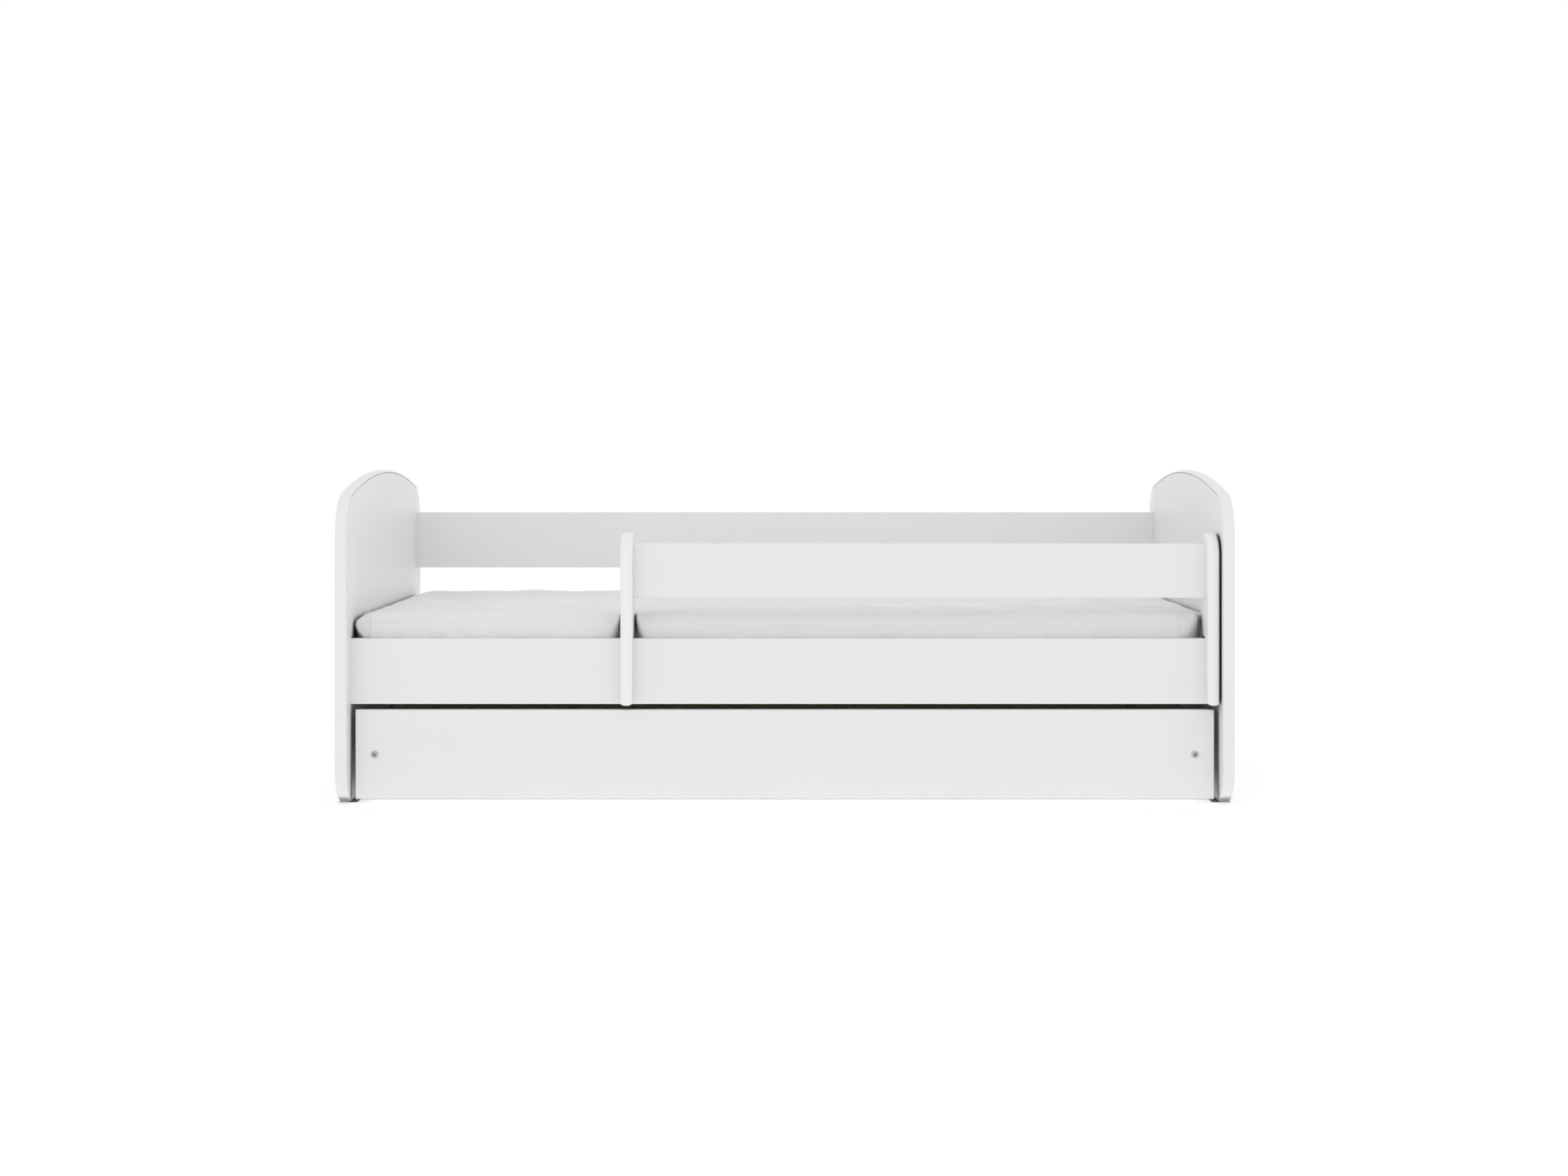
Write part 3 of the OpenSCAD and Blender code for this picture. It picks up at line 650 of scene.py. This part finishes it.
def bolt_section(length):
    """Rings of a connector bolt down from its face: (height, radius, share of a hexagon)."""
    socket = SOCKET_AF / 2
    rings = [(-SOCKET_DEPTH + 0.0004, 0.0002, 0), (-SOCKET_DEPTH, 0.0012, 0),
             (-SOCKET_DEPTH + 0.0002, 0.0013, 0.5), (-0.0009, socket, 1), (0, socket + 0.0006, 0.5),
             (0, BOLT_FACE_R - 0.0003, 0), (-0.0001, BOLT_FACE_R, 0),
             (-BOLT_HEAD_H / 2 + 0.0001, BOLT_RIM_R - 0.0001, 0), (-BOLT_HEAD_H / 2 - 0.0003, BOLT_RIM_R, 0),
             (-BOLT_HEAD_H + 0.0002, BOLT_RIM_R, 0), (-BOLT_HEAD_H, BOLT_RIM_R - 0.0002, 0),
             (-BOLT_HEAD_H, SHANK_R, 0)]
    z = max(BOLT_HEAD_H + 0.004, length - THREAD_L)
    while z < length - 0.0022:
        rings += [(-z, SHANK_R, 0), (-z - 0.0003, ROOT_R, 0),
                  (-z - 0.0006, ROOT_R, 0), (-z - 0.0009, SHANK_R, 0)]
        z += PITCH
    return rings + [(-length + 0.0008, ROOT_R, 0), (-length, ROOT_R - 0.0007, 0)]


def connector_bolts(node, axis, sign, body):
    """Bolts with a bevelled round head and a hexagon socket, each facing out along one axis."""
    turn = Vector((0, 0, 1)).rotation_difference(Vector([sign * (i == axis) for i in range(3)]))
    steps = 48
    bm = bmesh.new()
    for low, high in solids_of(node):
        face = (low + high) / 2
        face[axis] = (high if sign > 0 else low)[axis]
        rings = []
        for z, radius, hexagon in bolt_section((high - low)[axis]):
            ring = []
            for i in range(steps):
                a = 2 * math.pi * i / steps
                corner = 1 / math.cos((a % (math.pi / 3)) - math.pi / 6)
                r = radius * (1 + hexagon * (corner - 1))
                ring.append(bm.verts.new(face + turn @ Vector((r * math.cos(a), r * math.sin(a), z))))
            rings.append(ring)
        for a, b in zip(rings, rings[1:]):
            for i in range(steps):
                made = bm.faces.new((a[i], a[(i + 1) % steps], b[(i + 1) % steps], b[i]))
                # the socket walls take the dark socket colour: painted shade
                made.material_index = int(a in rings[2:4])
        bm.faces.new(rings[0])
        bm.faces.new(rings[-1])
    piece = add_piece(node + "_made", bm, body, "nickel", [node])
    piece.data.materials.append(MAT["socket"])
    piece.data.shade_smooth()
    piece.data.set_sharp_from_angle(angle=math.radians(35))


def hardware():
    """Bolts, and CAD nodes that keep their shape and take a proper material."""
    connector_bolts("drawer_bolts", Y, -1, "drawer")
    connector_bolts("post_bolts", Y, 1, "bed")
    connector_bolts("panel_bolts_left", X, -1, "bed")
    connector_bolts("panel_bolts_right", X, 1, "bed")
    for node in ("panel_barrel_nuts", "drawer_barrel_nuts"):
        relook(node, "nickel", 0.0004)
    for node in ("slat_screws", "cleat_screws", "guard_board_screws", "drawer_back_screws", "castor_screws"):
        relook(node, "zinc", 0.0001)
    relook("strap_staples", "zinc")
    relook("post_inserts", "brass", 0.0003)
    relook("drawer_dowels", "beech", 0.001)
    relook("slat_straps", "webbing")
    relook("drawer_bottom_strip", "strip", 0.0003)
    for node in NODES:
        if node.startswith("castor_bracket"):
            relook(node, "bracket", 0.0008, 3)
        elif node.startswith("castor_pin"):
            relook(node, "zinc", 0.0004, 3)
        elif node.startswith("castor_wheel"):
            relook(node, "wheel", 0.0012, 3)


# ---------- mattress and its sheet ----------

# Grid steps, and the closer steps near some edges, as (reach, step). Posts have a reach on each side.
FOAM_STEP = 0.014
SHEET_STEP = 0.010
FINE_ENDS = (0.040, 0.004)
FINE_FRONT = (0.050, 0.005)
FINE_BACK = (0.02, 0.005)
FINE_TOP = (0.045, 0.0045)
FINE_POSTS = (0.045, 0.030, 0.0035)
POST_LAP = 0.004
# How far the rounding of the edges reaches along X, Y and Z, the hem's width, the room for the sheet
# round the foam, and the cloth's own thickness
END_ROUND = (0.018, 0.012, 0.012)
HEM = 0.060
SHEET_T = 0.0015
CLOTH_T = 0.0008
# How far the ends and the long sides swell. The top rises, falls towards the back, and falls again
# within END_REACH of each end.
SWELL = (0.0012, 0.0034)
TOP_RISE = 0.0028
BACK_FALL = 0.0045
END_FALL = 0.0065
END_REACH = 0.040
# Ripples: their height, length, seed and stretch along X, Y and Z
STREAKS = (0.0026, 0.055, 7, (0.30, 1.0, 1.0))
BLOTCHES = (0.0005, 0.070, 11, (1.0, 1.0, 1.0))
# Dents at the posts: the mattress's distance from a post, then the dent's width on its left and right,
# and how much of that width is gone near the mattress's top
POST_CLEAR = 0.0012
SLACK = {"guard_post_left": (0.022, 0.020, 0.9), "guard_post_right": (0.042, 0.012, 0.55)}
# Front corners: how far the left and the right one tuck in, and the width and height of their folds
TUCKS = (0.024, 0.014)
TUCK_FOLD = (0.017, 0.028)
# Creases beside the posts: start and end in X and Z, then depth and width
CREASES = [
    ((-0.2695, 0.3440), (-0.2430, 0.3275), 0.0050, 0.0034),
    ((-0.3090, 0.3240), (-0.3210, 0.3090), 0.0030, 0.0030),
    ((0.7420, 0.3440), (0.7640, 0.3330), 0.0045, 0.0040),
]
# The sheet's settling: frames, and how far a point may move
SETTLE_FRAMES = 18
SETTLE_CAP = 0.003


def ripples(points, height, length, seed, stretch):
    """Smooth seeded unevenness at each point, in waves of about this height and length in any direction."""
    rng = np.random.default_rng(seed)
    total = np.zeros(len(points))
    for _ in range(14):
        turn = rng.uniform(0, 2 * math.pi)
        size = length * rng.uniform(0.8, 1.3)
        k = 2 * math.pi / size * np.array([math.cos(turn), math.sin(turn), rng.uniform(-0.6, 0.6)])
        total += np.sin(points @ (k * stretch) + rng.uniform(0, 2 * math.pi)) / math.sqrt(7)
    return height * total


def smooth(t):
    """0 below 0, 1 above 1 and smooth between."""
    t = np.clip(t, 0, 1)
    return t * t * (3 - 2 * t)


def spaced(low, high, step, close):
    """Places from low to high a step apart, or closer within (start, end, step) stretches."""
    fine = np.linspace(low, high, 4001)
    rate = np.full(4001, 1 / step)
    for start, end, near in close:
        rate[(fine > start) & (fine < end)] = 1 / near
    total = np.concatenate([[0], np.cumsum((rate[1:] + rate[:-1]) / 2) * (fine[1] - fine[0])])
    return np.interp(np.linspace(0, total[-1], round(total[-1]) + 1), total, fine)


def mattress_lines(low, high, step):
    """Grid lines along X, Y and Z, closer at the ends, the front, the top and the posts."""
    reach, near = FINE_ENDS
    along = [(low.x, low.x + reach, near), (high.x - reach, high.x, near)]
    left, right, near = FINE_POSTS
    for node in SLACK:
        a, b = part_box(node)
        along += [(a.x - left, a.x + POST_LAP, near), (b.x - POST_LAP, b.x + right, near)]
    across = [(low.y, low.y + FINE_FRONT[0], FINE_FRONT[1]), (high.y - FINE_BACK[0], high.y, FINE_BACK[1])]
    upright = [(high.z - FINE_TOP[0], high.z, FINE_TOP[1])]
    return [spaced(low.x, high.x, step, along),
            spaced(low.y, high.y, step, across),
            spaced(low.z, high.z, step, upright)]


def rounded_lattice(low, high, lines, hem=None):
    """Points, their outward directions and four-sided faces over a box with rounded edges. With a hem,
    its underside is open."""
    index, points, faces = {}, [], []

    def point(key):
        if key not in index:
            index[key] = len(points)
            points.append([lines[i][key[i]] for i in range(3)])
        return index[key]

    def middle(axis, i):
        return (lines[axis][i] + lines[axis][i + 1]) / 2

    for axis in range(3):
        u, v = [i for i in range(3) if i != axis]
        for end in (0, len(lines[axis]) - 1):
            for a in range(len(lines[u]) - 1):
                for b in range(len(lines[v]) - 1):
                    if hem and axis == Z and end == 0:
                        to_u = min(middle(u, a) - low[u], high[u] - middle(u, a))
                        to_v = min(middle(v, b) - low[v], high[v] - middle(v, b))
                        if min(to_u, to_v) > hem:
                            continue
                    corners = []
                    for da, db in ((0, 0), (1, 0), (1, 1), (0, 1)):
                        key = [0, 0, 0]
                        key[axis], key[u], key[v] = end, a + da, b + db
                        corners.append(point(tuple(key)))
                    faces.append(corners)
    points = np.array(points)
    inner = np.clip(points, np.array(low) + END_ROUND, np.array(high) - END_ROUND)
    out = (points - inner) / END_ROUND
    flat = np.power(out[:, 0] ** 4 + out[:, 1] ** 4, 0.25)
    out /= np.sqrt(flat ** 2 + out[:, 2] ** 2)[:, None]
    return inner + np.array(END_ROUND) * out, out, faces


def slack(points, low, high, top):
    """How far each point stands back where the mattress gives way to the guard posts. The dents are
    widest from the rail's top down."""
    x, y, z = points.T
    share = np.clip((z - top) / (high.z - top), 0, 1)
    push = np.zeros(len(points))
    for node, (left, right, fade) in SLACK.items():
        a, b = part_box(node)
        beyond = np.maximum(a.x - x, x - b.x) - POST_CLEAR
        width = np.where(x < (a.x + b.x) / 2, left, right)
        reach = width * (1 - fade * np.minimum(1, share / 0.75)) + 0.0015
        across = np.clip(1 - beyond / reach, 0, 1) ** 2.4
        behind = 1 - smooth((y - low.y) / 0.14)
        push = np.maximum(push, (b.y + POST_CLEAR + SWELL[1] - low.y) * np.minimum(1, across) * behind)
    return push


def mattress_form(points, out, low, high):
    """Where the points of a plain block move to: swelling sides, a soft top with falling ends, dents round
    the posts, and front corners tucked in below a fold."""
    rail_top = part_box("front_rail")[1].z
    x, y, z = points.T
    up = (z - low.z) / (high.z - low.z)
    back = (y - low.y) / (high.y - low.y)
    from_end = np.minimum(x - low.x, high.x - x)
    from_edge = np.minimum(from_end, np.minimum(y - low.y, high.y - y))
    moved = points.copy()
    swell = np.sin(math.pi * np.clip(up, 0, 1))
    moved[:, 0] += out[:, 0] * SWELL[0] * swell
    moved[:, 1] += out[:, 1] * SWELL[1] * swell
    moved[:, 2] += (TOP_RISE - BACK_FALL * back - END_FALL * (1 - smooth(from_end / END_REACH))) * up
    above = smooth((z - low.z - 0.03) / 0.03)
    uneven = ripples(points, *STREAKS) * smooth(from_edge / 0.07) + ripples(points, *BLOTCHES)
    moved += out * (uneven * above)[:, None]
    front = 1 - smooth((y - low.y) / 0.10)
    moved[:, 1] += slack(points, low, high, rail_top)
    moved[:, 1] += front * (tucks(x, z, low, high, rail_top) + creases(x, z))
    return moved


def tucks(x, z, low, high, rail_top):
    """How far the front corners stand back, with a small fold along the edge of each tuck."""
    depth = np.zeros(len(x))
    width, height = TUCK_FOLD
    for side, tuck in zip((x - low.x, high.x - x), TUCKS):
        fold = side / width + np.clip(z - rail_top + 0.002, 0, None) / height
        depth += tuck * (1 - smooth((fold - 0.5) / 0.6))
        depth += 0.0026 * np.exp(-((fold - 1.42) / 0.13) ** 2) * smooth((rail_top + 0.022 - z) / 0.008)
    return depth


def creases(x, z):
    """How deep the short creases beside the posts are."""
    total = np.zeros(len(x))
    for (x0, z0), (x1, z1), depth, width in CREASES:
        run = np.array([x1 - x0, z1 - z0])
        share = np.clip(((x - x0) * run[0] + (z - z0) * run[1]) / (run @ run), 0, 1)
        off = np.hypot(x - x0 - share * run[0], z - z0 - share * run[1])
        total += depth * np.exp(-(off / width) ** 2) * (1 - 0.6 * share)
    return total


def soft_mesh(name, points, faces):
    """An object with its faces turned outwards."""
    bm = bmesh.new()
    made = [bm.verts.new(p) for p in points]
    for f in faces:
        bm.faces.new([made[i] for i in f])
    bmesh.ops.recalc_face_normals(bm, faces=bm.faces)
    mesh = bpy.data.meshes.new(name)
    bm.to_mesh(mesh)
    bm.free()
    mesh.shade_smooth()
    piece = bpy.data.objects.new(name, mesh)
    bpy.context.scene.collection.objects.link(piece)
    return piece


def points_of(mesh):
    """A mesh's points as an array."""
    points = np.zeros(len(mesh.vertices) * 3)
    mesh.vertices.foreach_get("co", points)
    return points.reshape(-1, 3)


def drape(cloth, body, pinned):
    """Let a sheet settle over a body, with each point kept close to where it starts."""
    start = points_of(cloth.data)
    hold = cloth.vertex_groups.new(name="hold")
    hold.add([int(i) for i in np.flatnonzero(pinned)], 1.0, "REPLACE")
    rest = body.modifiers.new("rest", "COLLISION")
    body.collision.thickness_outer = 0.0012
    body.collision.cloth_friction = 12
    sim = cloth.modifiers.new("drape", "CLOTH")
    s = sim.settings
    s.quality = 6
    s.mass = 0.25
    s.tension_stiffness = s.compression_stiffness = 18
    s.shear_stiffness = 6
    s.bending_stiffness = 0.6
    s.shrink_min = -0.008
    s.vertex_group_mass = "hold"
    s.effector_weights.gravity = 0.5
    sim.collision_settings.distance_min = 0.001
    sim.collision_settings.collision_quality = 3
    sim.collision_settings.use_self_collision = False
    sim.point_cache.frame_start, sim.point_cache.frame_end = 1, SETTLE_FRAMES
    for frame_number in range(1, SETTLE_FRAMES + 1):
        bpy.context.scene.frame_set(frame_number)
    settled = cloth.evaluated_get(bpy.context.evaluated_depsgraph_get())
    moved = points_of(settled.to_mesh()) - start
    settled.to_mesh_clear()
    cloth.modifiers.remove(sim)
    body.modifiers.remove(rest)
    cloth.vertex_groups.clear()
    bpy.context.scene.frame_set(1)
    far = np.linalg.norm(moved, axis=1, keepdims=True)
    moved *= np.minimum(1, SETTLE_CAP / np.maximum(far, 1e-9))
    cloth.data.vertices.foreach_set("co", (start + moved).ravel())
    cloth.data.update()


def padded_shape(name, low, high, inside, step, hem=None):
    """A mattress-shaped surface a little inside the mattress's box."""
    off = Vector((inside, inside, inside))
    lines = mattress_lines(low + off, high - off, step)
    points, out, faces = rounded_lattice(low + off, high - off, lines, hem)
    return soft_mesh(name, mattress_form(points, out, low, high), faces)


def mattress():
    """A foam block with dents round the posts, in a fitted sheet."""
    low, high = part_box("fitted_sheet")
    core = padded_shape("foam_block", low, high, SHEET_T, FOAM_STEP)
    cloth = padded_shape("fitted_sheet_cloth", low, high, SHEET_T / 3, SHEET_STEP, HEM)
    points = points_of(cloth.data)
    still = points[:, 2] < low.z + 0.02
    near_front = points[:, 1] < low.y + 0.06
    for node in SLACK:
        a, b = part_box(node)
        still |= near_front & (points[:, 0] > a.x - 0.05) & (points[:, 0] < b.x + 0.03)
    still |= near_front & (np.abs(points[:, 0]) > high.x - 0.03)
    drape(cloth, core, still)

    for piece, slot, material, node in ((core, "foam", "foam", "mattress_foam"),
                                        (cloth, "sheet_cotton", "cotton", "fitted_sheet")):
        piece.data.materials.append(MAT[material])
        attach(piece, "mattress")
        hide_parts(node)
        smoother = piece.modifiers.new("smoother", "SUBSURF")
        smoother.levels = smoother.render_levels = 1
    thicken = cloth.modifiers.new("cloth_thickness", "SOLIDIFY")
    thicken.thickness = CLOTH_T
    thicken.offset = 1


# ---------- studio ----------

def studio():
    """Pale floor, white surroundings, soft light and the camera."""
    scene = bpy.context.scene
    scene.view_settings.view_transform = "Standard"
    scene.cycles.diffuse_bounces = 4
    scene.cycles.glossy_bounces = 1

    paint = Paint("studio_floor", Roughness=0.9, Specular_IOR_Level=0.1, Emission_Color=(1, 1, 1, 1))
    tone = paint.ramp(paint.noise(0.6, 2), (0.3, (0.49, 0.49, 0.49)), (0.7, (0.51, 0.51, 0.51)))
    paint.feed(paint.shader, "Base Color", tone)
    place = paint.tree.nodes.new("ShaderNodeSeparateXYZ")
    paint.feed(place, "Vector", paint.coords)
    out_x, out_y = (paint.math("ABSOLUTE", place.outputs[i]) for i in (X, Y))
    beside = paint.math("GREATER_THAN", out_x, CAD_BOX[1][X] + 0.002)
    forwards = paint.math("SUBTRACT", GLOW_UNDER_FRONT, place.outputs[Y])
    outwards = paint.math("MAXIMUM", place.outputs[Y], forwards)
    beyond = paint.add("MapRange", "Result", {
        "Value": outwards,
        "From Min": CAD_BOX[1][Y] + GLOW_FADE[0],
        "From Max": CAD_BOX[1][Y] + GLOW_FADE[1]})
    foot = paint.math("GREATER_THAN", out_x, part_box("drawer_front")[1].x - 0.001)
    under = paint.math("LESS_THAN", out_y, CAD_BOX[1][Y] - FOOT_SHADOW_IN)
    under_foot = paint.math("MULTIPLY", foot, under)
    # glow: painted light that keeps the bed's shadow off the floor, left out under the bed and under the feet
    glow = paint.math("MAXIMUM", beside, paint.math("SUBTRACT", beyond, under_foot))
    away = paint.math("MAXIMUM", paint.math("SUBTRACT", out_x, CAD_BOX[1][X]),
                      paint.math("SUBTRACT", out_y, CAD_BOX[1][Y]))
    strength = paint.add("MapRange", "Result", {
        "Value": away, "From Min": EDGE_GLOW_SPAN[0], "From Max": EDGE_GLOW_SPAN[1],
        "To Min": EDGE_GLOW, "To Max": FLOOR_GLOW})
    paint.feed(paint.shader, "Emission Strength", paint.math("MULTIPLY", glow, strength))
    bm = bmesh.new()
    bmesh.ops.create_grid(bm, x_segments=8, y_segments=8, size=FLOOR_HALF)
    mesh = bpy.data.meshes.new("studio_floor")
    bm.to_mesh(mesh)
    bm.free()
    mesh.materials.append(paint.material)
    floor = bpy.data.objects.new("studio_floor", mesh)
    scene.collection.objects.link(floor)

    world = bpy.data.worlds.new("studio_world")
    world.use_nodes = True
    tree = world.node_tree
    backdrop = tree.nodes["Background"]
    backdrop.inputs["Color"].default_value = (1, 1, 1, 1)
    split = tree.nodes.new("ShaderNodeSeparateXYZ")
    tree.links.new(tree.nodes.new("ShaderNodeTexCoord").outputs["Generated"], split.inputs[0])
    fall = tree.nodes.new("ShaderNodeMapRange")
    fall.inputs["To Min"].default_value = SKY_LOW
    fall.inputs["To Max"].default_value = SKY_LOW - SKY_FALL
    tree.links.new(split.outputs["Z"], fall.inputs["Value"])
    tree.links.new(fall.outputs["Result"], backdrop.inputs["Strength"])
    scene.world = world

    for name, place, size, power in SOFTBOXES:
        light = bpy.data.lights.new(name, "AREA")
        light.shape = "RECTANGLE"
        light.size, light.size_y = size
        light.energy = power
        lamp = bpy.data.objects.new(name, light)
        lamp.location = place
        lamp.rotation_euler = (LIGHT_AIM - Vector(place)).to_track_quat("-Z", "Y").to_euler()
        scene.collection.objects.link(lamp)

    camera = bpy.data.cameras.new("camera")
    camera.sensor_width = 36
    camera.lens = LENS
    camera.shift_x, camera.shift_y = SHIFT
    eye = bpy.data.objects.new("camera", camera)
    eye.location = (0, CAD_BOX[0][Y] - EYE_DISTANCE, EYE_HEIGHT)
    eye.rotation_euler = (math.radians(90), 0, 0)
    scene.collection.objects.link(eye)
    scene.camera = eye


end_panels()
guard_posts()
white_boards()
slatted_base()
drawer_box()
hardware()
mattress()
studio()
